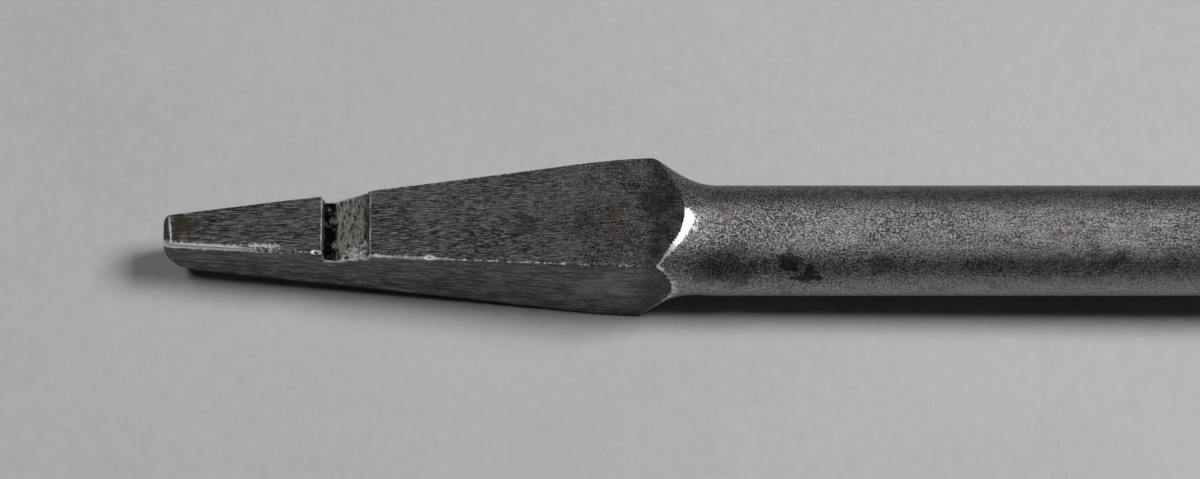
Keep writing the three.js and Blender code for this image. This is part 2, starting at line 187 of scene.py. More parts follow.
def rounded_rectangle(direction, half_y, half_z, corner):
    """How far the outline of a rectangle with round corners is from its centre, along each direction."""
    y, z = np.abs(direction[..., 0]), np.abs(direction[..., 1])
    to_side = np.minimum(half_y / np.maximum(y, 1e-9), half_z / np.maximum(z, 1e-9))
    centre_y, centre_z = half_y - corner, half_z - corner
    along = y * centre_y + z * centre_z
    square = along**2 - centre_y**2 - centre_z**2 + corner**2
    to_corner = along + np.sqrt(np.maximum(square, 0))
    in_corner = (y * to_side > centre_y) & (z * to_side > centre_z)
    return np.where(in_corner, to_corner, to_side)


def notch_depth(x, y, z):
    """How deep the catch notch is below the upper flat: a steep wall, a short floor, a ramp and a step."""
    places = np.stack(np.broadcast_arrays(x, y, z), axis=-1).reshape(-1, 3)
    shape = np.broadcast(x, y, z).shape
    torn = fractal(places * (0.2, 1, 1), 0.8, octaves=5, seed=1).reshape(shape)
    rough = fractal(places, 0.55, octaves=4, seed=2).reshape(shape)
    wall = smoothstep(NOTCH_START, NOTCH_START + 0.30, x + 0.14 * torn)
    ramp = np.clip((x - NOTCH_FLOOR_END) / (NOTCH_RAMP_END - NOTCH_FLOOR_END), 0, 1)
    step = smoothstep(NOTCH_RAMP_END + 0.25, NOTCH_END, x + 0.16 * torn)
    depth = NOTCH_DEPTH + (NOTCH_STEP - NOTCH_DEPTH) * ramp
    # The ramp was chiselled: it is uneven all over, and a torn facet is left standing at its near side.
    facet = torn_facet(x, y)
    depth = depth + 0.16 * rough * (0.3 + 0.7 * ramp) - facet * (0.14 + 0.55 * rough)
    return wall * depth * (1 - step)


def torn_facet(x, y):
    """1 on the torn facet at the near side of the notch's ramp, 0 off it."""
    edge = -2.75 + (x - NOTCH_FLOOR_END + 0.4) * 0.40
    inside = smoothstep(0.12, -0.12, y - edge)
    return inside * smoothstep(NOTCH_FLOOR_END, NOTCH_FLOOR_END + 0.4, x)


# Small dents along the tang's edges: place along X, side (+1 the far edge, -1 the near one), size and depth.
DENTS = [
    (2.3, 1, 0.30, 0.16),
    (15.35, -1, 0.42, 0.20),
    (21.6, -1, 0.30, 0.14),
    (22.7, -1, 0.24, 0.10),
    (24.4, -1, 0.28, 0.13),
    (26.8, -1, 0.46, 0.19),
    (29.0, -1, 0.22, 0.08),
    (27.2, 1, 0.34, 0.10),
    (33.6, 1, 0.26, 0.07),
    (40.2, -1, 0.24, 0.08),
]


def dent_depth(x, y, half_y):
    """How far the upper flat is knocked down at its edges."""
    depth = 0 * (x + y)
    for place, side, size, deep in DENTS:
        away = ((x - place) / size) ** 2 + ((side * y - half_y) / (0.8 * size)) ** 2
        depth = depth + deep * np.exp(-(away**1.5))
    return depth


def tang_and_shank():
    """Every ring's vertices from the tang's end to the head, and the attributes that the material reads."""
    x = stations()[:, None]
    angle = ring_angles()[None, :]
    half_y = flat_half(x, TANG_END.x)
    half_z = flat_half(x, TANG_END.y)
    half_z = half_z - FLAT_HOLLOW * np.sin(math.pi * np.clip(x / TAPER_LENGTH, 0, 1)) ** 2

    # The end of the tang is rounded over.
    near_end = np.clip(1 - x / END_ROUND, 0, 1)
    inset = END_ROUND * (1 - np.sqrt(1 - near_end**2)) * 0.75
    half_y, half_z = half_y - inset, half_z - inset
    corner = 0.16 + 0.34 * np.exp(-x / 5.0) + 0.0 * angle

    # The rings' corners move from the tang's corners to the head's, where the flats meet the round.
    to_head = smoothstep(SHANK_START + 5, FLARE_START, x)
    corner_y = half_y + (math.sqrt(HEAD_RADIUS**2 - HALF_FLAT**2) - half_y) * to_head
    limit_y = half_y + HEAD_RADIUS * smoothstep(SHANK_START, SHANK_START + 5, x)
    direction = np.stack([corner_y * np.cos(angle), half_z * np.sin(angle)], axis=-1)
    direction = direction / np.linalg.norm(direction, axis=-1, keepdims=True)
    square = rounded_rectangle(direction, limit_y, half_z, corner)
    fade = smoothstep(SHANK_START + 6, SHANK_START - 4, x)
    turned = turned_radius(x - shoulder_shift(direction) * fade)
    far_corner = np.exp(-(((direction[..., 0] - 0.72) / 0.3) ** 2)) * (direction[..., 1] > 0)
    radius = smooth_min(square, turned, 0.12 + 0.75 * far_corner)

    y = radius * direction[..., 0]
    z = radius * direction[..., 1]

    # Everything above the notch's profile comes down to it, and the dents are pressed in.
    near_notch = x + 0 * z < NOTCH_END + 0.6
    depth = np.where(near_notch & (z > 0), notch_depth(x, y, z), 0)
    knocked = np.where(z > 0, dent_depth(x, y, half_y), 0)
    top = half_z - depth - knocked
    on_top = smoothstep(-0.22, -0.02, z - top) * (z > 0)
    z_cut = np.minimum(z, top + 0.02 * (z - half_z))
    cut_away = z - z_cut
    z = np.where(x + 0 * z < SHOULDER_X, z_cut, z)
    to_edge = np.maximum(half_y - np.abs(y), np.where(z > 0, np.abs(top - z), half_z + z))
    side = smoothstep(-0.03, 0.03, np.abs(direction[..., 0]) / half_y - np.abs(direction[..., 1]) / half_z)

    # The end's lower corner is worn away.
    below = np.clip((0.4 - z - 0.5 * y) / 3.9, 0, 1)
    sloped = 1.3 * below**2.2 * np.exp(-((x / 1.6) ** 2))

    # File marks and small unevenness, by fractions of a tenth of a millimetre.
    places = np.stack(np.broadcast_arrays(x * 0.35, y, z), axis=-1).reshape(-1, 3)
    uneven = fractal(places, 1.6, octaves=3, seed=5).reshape(z.shape)
    on_tang = smoothstep(SHOULDER_X + 2, SHOULDER_X - 2, x)
    scale = 1 - (0.022 * on_tang + 0.006) * (1 + uneven) / radius
    y, z = y * scale, z * scale

    lean = TANG_LEAN * np.clip((x - 5.0) / (SHOULDER_X - 5.0), 0, 1) * (1 - smoothstep(50.0, 56.0, x))
    verts = np.stack([x + sloped, y + lean, z], axis=-1)
    wear_and_highlight = body_wear_and_highlight(x, y, z, to_edge, square - turned, depth, knocked, on_top)
    torn = smoothstep(0.2, 0.5, depth) * on_top
    flat = smoothstep(0.06, -0.06, square - turned) * smoothstep(SHANK_START + 4, SHANK_START, x)
    # Painted shade on the flat beside the fillet's rim.
    rim_painted_shade = flat * smoothstep(-3.2, -1.2, square - turned) * smoothstep(45.0, 49.0, x)
    # Near black in the notch's deepest floor and in the gaps under the torn facet.
    dark_in_hollows = smoothstep(1.0, 1.7, depth) * smoothstep(0.1, 0.6, cut_away) * smoothstep(17.7, 17.2, x + 0 * z)
    dark_in_hollows = np.maximum(dark_in_hollows, 0.9 * torn_facet(x, y) * on_top * smoothstep(0.3, 0.6, depth))
    looks = {"wear_and_highlight": wear_and_highlight, "dark_in_hollows": dark_in_hollows, "torn": torn, "flat": flat, "side": side, "rim_painted_shade": rim_painted_shade}
    return verts, looks


def body_wear_and_highlight(x, y, z, to_edge, over_fillet, depth, knocked, on_top):
    """How bare and bright the steel is at each vertex, from 0 to 1: rubbed edges and rims, and along the
    fillet partly rubbed steel and partly a painted highlight.
    """
    on_tang = smoothstep(SHOULDER_X + 0.6, SHOULDER_X - 0.6, x)
    near_upper = (y < 0) & (z > 0)
    edge = np.exp(-((to_edge / 0.16) ** 2)) * on_tang * (0.62 - 0.26 * smoothstep(34.0, 44.0, x))
    # The near upper edge is worn to a broad bright line towards the tang's end.
    reach = 0.34 + 0.28 * np.exp(-x / 6.0)
    broad = np.exp(-((to_edge / reach) ** 2)) * smoothstep(14.0, 6.0, x)
    in_notch = smoothstep(17.0, 17.6, x) * smoothstep(21.2, 20.8, x) * np.exp(-((to_edge / 0.2) ** 2))
    edge = np.maximum(edge, np.where(near_upper, np.maximum(broad, 0.9 * in_notch), 0))
    rubbed = np.exp(-(((to_edge - 0.5) / 0.55) ** 2)) * np.exp(-(((x - 10.0) / 3.0) ** 2))
    edge = np.maximum(edge, np.where(near_upper & (z > -y), 0.55 * rubbed, 0))
    chipped = 0.42 * smoothstep(NOTCH_RAMP_END, NOTCH_END, x) * smoothstep(32.0, 26.0, x)
    edge = edge + np.where(near_upper, chipped * np.exp(-((to_edge / 0.26) ** 2)), 0)
    # The end's rim, the notch's torn edges and the dents' rims.
    rim = np.exp(-(((x - 0.70 + 0.10 * y) / 0.11) ** 2)) * on_top
    step = np.exp(-(((x - NOTCH_END + 0.02) / 0.10) ** 2)) * on_top
    lip = np.exp(-(((x - NOTCH_START + 0.03) / 0.08) ** 2)) * on_top
    facet = torn_facet(x, y) * smoothstep(0.3, 0.6, depth) * on_top * 0.56
    dents = smoothstep(0.012, 0.04, knocked) * smoothstep(0.15, 0.07, knocked) * on_top
    # The fillet is painted bare and bright where it runs up to the flats, most of all on the near side of the
    # upper flat: partly rubbed steel, partly a painted highlight.
    past_rim = np.maximum(over_fillet, 0)
    fillet = 0.66 * np.exp(-((past_rim / 0.30) ** 2)) + 0.34 * np.exp(-((past_rim / 0.9) ** 2))
    fillet = fillet * smoothstep(SHOULDER_X - 1, SHOULDER_X, x)
    fillet = fillet * (over_fillet > -0.05) * smoothstep(SHANK_START + 1, SHANK_START - 2.5, x)
    fillet = fillet * smoothstep(1.7, -0.3, y) * np.where(z > -y - 1, 1, 0.55)
    parts = [edge, rim, 0.74 * step, 0.70 * lip, facet, dents, fillet]
    return np.clip(np.max(np.stack(np.broadcast_arrays(*parts)), axis=0), 0, 1)


def ring_faces(rings, points):
    faces = []
    for ring in range(rings - 1):
        for point in range(points):
            following = (point + 1) % points
            faces.append(
                (
                    ring * points + point,
                    ring * points + following,
                    (ring + 1) * points + following,
                    (ring + 1) * points + point,
                )
            )
    return faces


def cad_shape(node):
    """A CAD node's solid as a bmesh, with its vertices joined and each flat face made whole."""
    shape = bmesh.new()
    shape.from_mesh(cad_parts[node].data)
    bmesh.ops.remove_doubles(shape, verts=shape.verts, dist=0.002 * MM)
    bmesh.ops.dissolve_limit(shape, angle_limit=math.radians(0.3), verts=shape.verts, edges=shape.edges)
    return shape


def ease_edges(shape, width, sharpness=32):
    """Round every edge sharper than that many degrees, and mark the new faces as eased."""
    worn = shape.faces.layers.float.new("eased")
    limit = math.radians(sharpness)
    sharp = [edge for edge in shape.edges if edge.is_manifold and edge.calc_face_angle() > limit]
    made = bmesh.ops.bevel(
        shape,
        geom=sharp,
        offset=width * MM,
        offset_type="OFFSET",
        segments=2,
        profile=0.6,
        affect="EDGES",
        clamp_overlap=True,
    )
    for face in made["faces"]:
        face[worn] = 1.0


def eased_shape(node, width):
    """A CAD node's solid with its sharp edges rounded."""
    shape = cad_shape(node)
    ease_edges(shape, width)
    return shape


def make_body():
    grid, looks = tang_and_shank()
    rings, points = grid.shape[:2]
    faces = ring_faces(rings, points)
    faces.append(tuple(range(points))[::-1])
    piece = new_object("body", grid.reshape(-1, 3), faces, smooth_angle=BODY_SMOOTH_ANGLE)
    for name, values in looks.items():
        add_attribute(piece, name, values)
    join_head(piece)
    shade(piece, BODY_SMOOTH_ANGLE)
    return piece


def join_head(piece):
    """Add the head to the open end of the shank."""
    head = cad_shape("bit_body")
    cut = (JOIN_X + 1.0) * MM
    everything = head.verts[:] + head.edges[:] + head.faces[:]
    bmesh.ops.bisect_plane(head, geom=everything, plane_co=(cut, 0, 0), plane_no=(1, 0, 0), clear_inner=True)
    ease_edges(head, HEAD_EASE)
    mesh = bpy.data.meshes.new("head")
    head.to_mesh(mesh)
    head.free()
    shape = bmesh.new()
    shape.from_mesh(piece.data)
    shape.faces.layers.float.new("eased")
    shape.from_mesh(mesh)
    rim = [edge for edge in shape.edges if edge.is_boundary]
    bmesh.ops.bridge_loops(shape, edges=rim)
    bmesh.ops.recalc_face_normals(shape, faces=shape.faces)
    shape.to_mesh(piece.data)
    shape.free()
    bpy.data.meshes.remove(mesh)


def add_attribute(piece, name, values):
    attribute = piece.data.attributes.new(name, "FLOAT", "POINT")
    attribute.data.foreach_set("value", np.asarray(values, np.float32).ravel())


# ---- The other pieces --------------------------------------------------------------------------------------

LEAD_LENGTH = 12.0
LEAD_ROOT_RADIUS = 2.1
LEAD_TIP_RADIUS = 0.3
THREAD_PITCH = 1.7
THREAD_HEIGHT = 0.83
THREAD_HALF_WIDTH = 0.34  # as a share of the pitch
RINGS_PER_TURN = 26
COLLAR_LENGTH = 1.0
SPIGOT_RADIUS = 1.5

# How wide the edges are rounded.
HEAD_EASE = 0.22
CUTTER_EASE = 0.07
CLAMP_EASE = 0.3
SCREW_EASE = 0.12
PIN_EASE = 0.2


def finish_piece(name, shape, body, node, material, smooth_angle=28):
    """Turn a bmesh in metres into a piece that stands for a CAD node."""
    mesh = bpy.data.meshes.new(name)
    bmesh.ops.recalc_face_normals(shape, faces=shape.faces)
    shape.to_mesh(mesh)
    shape.free()
    piece = bpy.data.objects.new(name, mesh)
    bpy.context.scene.collection.objects.link(piece)
    shade(piece, smooth_angle)
    piece.data.materials.append(material)
    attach(piece, body)
    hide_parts(node)
    return piece


def lathe_shape(places, radius_at, points=72):
    """A closed solid round the bit's axis. radius_at gives a ring's radii and how high each point stands."""
    angle = np.arange(points) / points * 2 * math.pi
    verts, heights = [], []
    for x in places:
        radius, height = radius_at(x, angle)
        heights.append(height)
        verts.append(np.stack([x + 0 * angle, radius * np.cos(angle), radius * np.sin(angle)], axis=-1))
    faces = ring_faces(len(places), points)
    faces.append(tuple(range(points))[::-1])
    faces.append(tuple(range((len(places) - 1) * points, len(places) * points)))
    mesh = bpy.data.meshes.new("lathe")
    mesh.from_pydata([tuple(v) for v in np.concatenate(verts) * MM], [], faces)
    shape = bmesh.new()
    shape.from_mesh(mesh)
    bpy.data.meshes.remove(mesh)
    # The crests are marked for bare wear, and the roots for painting darker.
    crest, root = (shape.verts.layers.float.new(name) for name in ("eased", "dark_in_hollows"))
    for vert, height in zip(shape.verts, np.concatenate(heights)):
        vert[crest] = float(smoothstep(0.6, 0.95, height))
        vert[root] = float(smoothstep(0.45, 0.0, height))
    return shape


def lead_screw_shape():
    """A collar, and a tapered cone with one sharp-crested thread that fades in and out."""
    low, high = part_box("lead_screw")
    start, tip = low.x / MM, high.x / MM
    thread_start = tip - LEAD_LENGTH - LEAD_TIP_RADIUS
    collar_start = thread_start + 0.1

    def radius_at(x, angle):
        if x < collar_start:
            return SPIGOT_RADIUS + 0 * angle, 0.5 + 0 * angle
        share = (x - thread_start) / LEAD_LENGTH
        if share >= 1:
            left = np.clip((tip - x) / LEAD_TIP_RADIUS, 0.02, 1)
            return LEAD_TIP_RADIUS * math.sqrt(1 - (1 - left) ** 2) + 0 * angle, 1 + 0 * angle
        root = LEAD_ROOT_RADIUS + (LEAD_TIP_RADIUS - LEAD_ROOT_RADIUS) * share
        height = THREAD_HEIGHT * min(1, 3 * (1 - share), 10 * share)
        phase = ((x - thread_start) / THREAD_PITCH - angle / (2 * math.pi)) % 1
        ridge = np.clip(1 - np.abs(phase - 0.5) / THREAD_HALF_WIDTH, 0, 1)
        threaded = root + height * ridge**1.25
        collar = LEAD_ROOT_RADIUS if x < thread_start + COLLAR_LENGTH else 0
        return np.maximum(threaded, collar), np.where(threaded > collar, ridge, 0.5)

    spigot = [start, start + 0.15, collar_start - 0.001]
    cone = list(np.arange(collar_start, tip - LEAD_TIP_RADIUS - 0.02, THREAD_PITCH / RINGS_PER_TURN))
    point = list(np.linspace(tip - LEAD_TIP_RADIUS, tip, 6))
    return lathe_shape(spigot + cone + point, radius_at)


def cutter_shape():
    """The cutter. Its top faces are marked, for the graduations that set the hole's size."""
    shape = eased_shape("sliding_cutter", CUTTER_EASE)
    marked = shape.faces.layers.float.new("scale")
    for face in shape.faces:
        face[marked] = float(face.normal.z > 0.99)
    return shape


# ---- Materials ---------------------------------------------------------------------------------------------

TICK_SPACING = 25.4 / 16
TICK_ROOT_X = 197.4
TICK_LENGTH = 1.5
LONG_TICK_LENGTH = 1.7 * TICK_LENGTH
TICK_FADE = 0.08

# Colours of the steel, as its reflectance.
BARE_STEEL = (0.86, 0.855, 0.84)
# Near black for the notch's deepest floor and the gaps under its torn facet.
HOLLOW_BLACK = (0.010, 0.008, 0.007)
BLACK_SCALE = (0.018, 0.016, 0.015)
REDDISH_RUST = (0.115, 0.070, 0.058)
OLIVE_STAIN = (0.062, 0.047, 0.026)
SHANK_TONES = (0.070, 0.064, 0.062), (0.215, 0.207, 0.199)
SHANK_LINES = (0.040, 0.036, 0.034), (0.34, 0.33, 0.32)
# Painted shade and painted reflection for the shank's bands, dark and light.
SHANK_PAINTED_BANDS = (0.030, 0.026, 0.025), (0.46, 0.45, 0.44)
SHANK_GRAINS = (0.026, 0.023, 0.022), (0.55, 0.54, 0.53)
FLAT_TONES = (0.026, 0.022, 0.020), (0.108, 0.100, 0.095)
UPPER_FLAT_LINES = (0.010, 0.009, 0.008), (0.29, 0.285, 0.28)
SIDE_FLAT_LINES = (0.028, 0.025, 0.023), (0.32, 0.315, 0.31)
FLAT_GRAINS = (0.010, 0.009, 0.008), (0.30, 0.295, 0.29)
FLAT_BLOT = (0.42, 0.415, 0.41)
# Painted shade on the flat beside the fillet's rim.
RIM_PAINTED_SHADE = (0.020, 0.018, 0.017)
TORN_TONES = (0.014, 0.011, 0.010), (0.54, 0.51, 0.48)
PAPER_TONES = (0.575, 0.565, 0.566), (0.635, 0.625, 0.626)

# Near-black patches of scale: their places on the body, sizes and strengths.
SCALE_PATCHES = [
    ((42.3, -0.3, 5.7), 1.2, 0.40),
    ((50.0, -1.2, 6.0), 1.0, 0.40),
    ((64.4, -4.97, 2.5), 1.2, 0.88),
    ((62.7, -4.1, 3.7), 1.3, 0.80),
    ((56.4, -4.4, 3.4), 2.3, 0.50),
    ((54.2, -5.0, 2.6), 1.4, 0.45),
    ((36.4, -0.6, 4.9), 1.5, 0.45),
    ((49.2, 1.5, 6.0), 1.5, 0.50),
    ((72.0, -4.2, 3.6), 1.2, 0.45),
    ((96.0, -3.9, 4.0), 0.9, 0.50),
    ((34.0, 1.4, -5.0), 1.3, 0.80),
    ((80.0, 3.0, -4.6), 1.1, 0.80),
    ((129.0, -3.4, 4.4), 1.2, 0.80),
    ((172.0, 6.0, 6.0), 1.6, 0.70),
]


class Graph:
    """A few short words for building a material's nodes. Sizes are in millimetres."""

    def __init__(self, name):
        self.material = bpy.data.materials.new(name)
        self.material.use_nodes = True
        self.nodes = self.material.node_tree.nodes
        self.links = self.material.node_tree.links
        self.shader = self.nodes["Principled BSDF"]
        coordinates = self.nodes.new("ShaderNodeTexCoord").outputs["Object"]
        self.place = self.vector("MULTIPLY", coordinates, (1 / MM,) * 3)

    def put(self, value, socket):
        if isinstance(value, bpy.types.NodeSocket):
            self.links.new(value, socket)
        elif isinstance(value, (int, float)) and socket.type == "RGBA":
            socket.default_value = (value, value, value, 1)
        elif socket.type == "RGBA" and len(value) == 3:
            socket.default_value = (*value, 1)
        else:
            socket.default_value = value

    def math(self, operation, *values):
        node = self.nodes.new("ShaderNodeMath")
        node.operation = operation
        for value, socket in zip(values, node.inputs):
            self.put(value, socket)
        return node.outputs[0]

    def times(self, first, second):
        return self.math("MULTIPLY", first, second)

    def vector(self, operation, *values):
        node = self.nodes.new("ShaderNodeVectorMath")
        node.operation = operation
        for value, socket in zip(values, node.inputs):
            self.put(value, socket)
        return node.outputs["Value" if operation in ("DISTANCE", "DOT_PRODUCT") else "Vector"]

    def axis(self, name):
        node = self.nodes.new("ShaderNodeSeparateXYZ")
        self.put(self.place, node.inputs[0])
        return node.outputs[name]

    def noise(self, size, detail=3.0, rough=0.6, stretch=(1, 1, 1), shift=(0, 0, 0), warp=0.0):
        """Noise from 0 to 1 whose features are about that size, drawn out along each axis by stretch."""
        scale = tuple(1 / (size * s) for s in stretch)
        spot = self.vector("MULTIPLY", self.vector("ADD", self.place, shift), scale)
        node = self.nodes.new("ShaderNodeTexNoise")
        self.put(spot, node.inputs["Vector"])
        node.inputs["Scale"].default_value = 1.0
        node.inputs["Detail"].default_value = detail
        node.inputs["Roughness"].default_value = rough
        node.inputs["Distortion"].default_value = warp
        return node.outputs["Fac"]

    def fit(self, value, low, high, to_low=0.0, to_high=1.0, smooth=True):
        """Value taken from the range low..high to the range to_low..to_high, and held at its ends."""
        node = self.nodes.new("ShaderNodeMapRange")
        node.interpolation_type = "SMOOTHSTEP" if smooth else "LINEAR"
        for number, socket in zip((value, low, high, to_low, to_high), node.inputs):
            self.put(number, socket)
        return node.outputs[0]

    def lerp(self, share, first, second):
        """First number where share is 0, second where it is 1."""
        return self.math("MULTIPLY_ADD", share, self.math("SUBTRACT", second, first), first)

    def ragged(self, share, pattern, amount):
        """A share with noise added round its middle, so that its limits come out ragged."""
        return self.math("MULTIPLY_ADD", self.math("SUBTRACT", pattern, 0.5), amount, share)

    def mix(self, share, first, second):
        """First colour where share is 0, second where it is 1."""
        node = self.nodes.new("ShaderNodeMix")
        node.data_type = "RGBA"
        self.put(share, node.inputs["Factor"])
        self.put(first, node.inputs[6])
        self.put(second, node.inputs[7])
        return node.outputs[2]

    def blot(self, centre, size, shift=(5, 9, 3)):
        """1 inside a ragged patch round a point, 0 outside it."""
        away = self.vector("DISTANCE", self.place, centre)
        ragged = self.noise(size * 0.9, detail=5, rough=0.7, stretch=(1.5, 1, 1), shift=shift)
        near = self.math("SUBTRACT", 1.0, self.math("DIVIDE", away, size * 1.6))
        return self.fit(self.math("MULTIPLY_ADD", ragged, 2.6, near), 1.62, 1.80)

    def attribute(self, name):
        node = self.nodes.new("ShaderNodeAttribute")
        node.attribute_name = name
        return node.outputs["Fac"]

    def bump(self, height, strength, distance, normal=None):
        node = self.nodes.new("ShaderNodeBump")
        node.inputs["Strength"].default_value = strength
        node.inputs["Distance"].default_value = distance * MM
        self.put(height, node.inputs["Height"])
        if normal:
            self.put(normal, node.inputs["Normal"])
        return node.outputs["Normal"]


def shank_color(g, tone, clouds, speckle):
    """The shank and the head: mottled, drawn lengthwise, banded with painted light and shade, and speckled
    with pits and bright grains.
    """
    dark, light = SHANK_TONES
    color = g.mix(g.fit(tone, 0.40, 0.60), dark, light)
    on_head = g.fit(g.axis("X"), FLARE_START, JOIN_X)
    grains = g.times(g.lerp(on_head, 1.0, 0.55), g.fit(g.axis("X"), 62.0, 84.0, 1.0, 0.72))
    drawn = g.noise(0.22, detail=3, rough=0.75, stretch=(11, 1, 1), shift=(5, 6, 7))
    drawn_share = g.fit(g.axis("X"), 58.0, 80.0, 0.15, 0.6)
    dark, light = SHANK_LINES
    color = g.mix(g.times(g.fit(drawn, 0.52, 0.62), drawn_share), color, light)
    color = g.mix(g.times(g.fit(drawn, 0.48, 0.38), drawn_share), color, dark)
    light_grains = g.times(g.fit(speckle, 0.515, 0.585), grains)
    dark_grains = g.times(g.fit(speckle, 0.485, 0.415), grains)
    # Lengthwise bands of painted light and shade: a painted reflection of the lit table low on the near side,
    # and painted shade above it and behind the top, broken up by the clouds. They are laid out by height in
    # the camera's view, and they stay on the steel when the camera or the bit moves.
    height = g.vector("DOT_PRODUCT", g.place, VIEW_UP)
    dark, light = SHANK_PAINTED_BANDS
    color = g.mix(g.fit(height, -3.0, -4.8, 0, 0.50), color, light)
    painted_shade = g.times(g.fit(height, -0.8, -2.1), g.fit(height, -3.8, -2.7))
    painted_shade = g.math("MAXIMUM", painted_shade, g.times(g.fit(height, 2.6, 4.6), 0.8))
    painted_shade = g.times(painted_shade, g.fit(clouds, 0.36, 0.58, 0.85, 0.30))
    color = g.mix(painted_shade, color, dark)
    dark, light = SHANK_GRAINS
    color = g.mix(light_grains, color, light)
    color = g.mix(dark_grains, color, dark)
    return color


def flat_color(g, tone, grain, speckle, lines, side):
    """The tang's flats: file lines, stronger towards the tang's end, and pits, denser by the shoulder."""
    filed = g.fit(g.axis("X"), 46.0, 34.0, 0.45, 1.0)
    dark, light = FLAT_TONES
    color = g.mix(g.fit(tone, 0.42, 0.58), dark, light)
    light_lines = g.times(g.fit(lines, 0.51, 0.58), g.lerp(side, filed, 1.0))
    dark_lines = g.times(g.fit(lines, 0.48, 0.41), g.lerp(side, filed, 1.0))
    dark, light = (g.mix(side, upper, slanted) for upper, slanted in zip(UPPER_FLAT_LINES, SIDE_FLAT_LINES))
    color = g.mix(light_lines, color, light)
    color = g.mix(dark_lines, color, dark)
    pitted = g.math("SUBTRACT", 1.15, g.times(filed, 0.75))
    light_grains = g.times(g.fit(speckle, 0.53, 0.61), pitted)
    dark_grains = g.times(g.fit(speckle, 0.47, 0.39), pitted)
    dark, light = FLAT_GRAINS
    color = g.mix(light_grains, color, light)
    color = g.mix(dark_grains, color, dark)
    color = g.mix(g.times(g.blot((44.0, -5.8, 1.0), 2.6), 0.18), color, FLAT_BLOT)
    # Painted shade beside the fillet's rim, broken up by the grain.
    rim_painted_shade = g.times(g.attribute("rim_painted_shade"), g.fit(grain, 0.38, 0.60, 0.85, 0.45))
    color = g.mix(rim_painted_shade, color, RIM_PAINTED_SHADE)
    return color


def forged_steel():
    """Old forged steel: mottled on the shank, filed lengthwise on the tang, bright where it is rubbed, and
    with a painted highlight along the fillet.
    """
    g = Graph("worn_forged_steel")
    on_tang = g.attribute("flat")

    # Clouds of stain, a finer grain over them, and a dense speckle of pits and bright grains.
    clouds = g.noise(4.5, detail=5, rough=0.62, stretch=(1.8, 1, 1), warp=0.5)
    grain = g.noise(0.8, detail=4, rough=0.7, shift=(2, 9, 4))
    side = g.attribute("side")
    speckle = g.noise(0.155, detail=3, rough=0.9, stretch=(1.3, 1, 1))
    files = g.noise(0.095, detail=2, rough=0.75, stretch=(50, 1, 1))
    fine_files = g.noise(0.065, detail=1, rough=0.7, stretch=(44, 1, 1), shift=(3, 7, 1))
    lines = g.lerp(0.38, files, fine_files)
    # The marks on the side flats are coarser. The photograph shows the near one at a slant.
    lines = g.lerp(side, lines, g.noise(0.25, detail=4, rough=0.85, stretch=(20, 1, 1), shift=(8, 2, 5)))
    tone = g.lerp(0.45, clouds, grain)

    on_flat = flat_color(g, tone, grain, speckle, lines, side)
    color = g.mix(on_tang, shank_color(g, tone, clouds, speckle), on_flat)
    # The notch's ramp is torn across, and lighter than the flats.
    tears = g.noise(0.42, detail=5, rough=0.95, stretch=(0.6, 1.8, 1), warp=0.8)
    torn_color = g.mix(g.fit(tears, 0.46, 0.51), *TORN_TONES)
    color = g.mix(g.attribute("torn"), color, torn_color)

    # Reddish rust in clouds, an olive stain by the tang's end, and a few near-black scale patches.
    rust = g.times(g.fit(g.noise(3.0, detail=5, rough=0.7, shift=(15, 7, 2)), 0.54, 0.68), 0.34)
    color = g.mix(rust, color, REDDISH_RUST)
    color = g.mix(g.times(g.blot((1.9, 0.5, 2.7), 1.3), 0.8), color, OLIVE_STAIN)
    for place, size, strength in SCALE_PATCHES:
        color = g.mix(g.times(g.blot(place, size), strength), color, BLACK_SCALE)

    # The notch's deepest floor and the gaps under its torn facet are painted near black, and rubbed edges are
    # bare and bright.
    dark_in_hollows = g.attribute("dark_in_hollows")
    color = g.mix(g.times(dark_in_hollows, g.fit(grain, 0.74, 0.50)), color, HOLLOW_BLACK)
    # Rubbed edges and the fillet's painted highlight both come out as bare, bright steel here.
    rubbed = g.math("MAXIMUM", g.attribute("wear_and_highlight"), g.times(g.attribute("eased"), 0.43))
    chips = g.noise(0.42, detail=4, rough=0.8, shift=(7, 1, 6))
    wear_and_highlight = g.ragged(g.ragged(rubbed, chips, 2.6), speckle, 0.8)
    bare = g.times(g.fit(wear_and_highlight, 0.42, 0.58), g.fit(rubbed, 0.02, 0.15))
    bare = g.math("MAXIMUM", bare, g.fit(rubbed, 0.50, 0.92))
    color = g.mix(bare, color, BARE_STEEL)
    g.put(color, g.shader.inputs["Base Color"])
    g.shader.inputs["Metallic"].default_value = 1.0

    rough = g.fit(grain, 0.3, 0.7, 0.31, 0.42, smooth=False)
    rough = g.math("MULTIPLY_ADD", rust, 0.2, rough)
    rough = g.math("MULTIPLY_ADD", dark_in_hollows, 0.3, rough)
    rough = g.math("MULTIPLY_ADD", bare, -0.03, rough)
    g.put(rough, g.shader.inputs["Roughness"])

    unworn = g.math("SUBTRACT", 1.0, g.fit(rubbed, 0.45, 0.8))
    marks = g.times(lines, g.times(on_tang, g.lerp(side, 1.0, 0.35)))
    normal = g.bump(marks, 1.0, 0.10)
    normal = g.bump(g.times(tears, g.attribute("torn")), 1.0, 0.30, normal)
    normal = g.bump(g.times(g.fit(speckle, 0.36, 0.62), unworn), 0.55, 0.04, normal)
    normal = g.bump(g.times(grain, unworn), 0.35, 0.06, normal)
    g.put(normal, g.shader.inputs["Normal"])
    return g.material


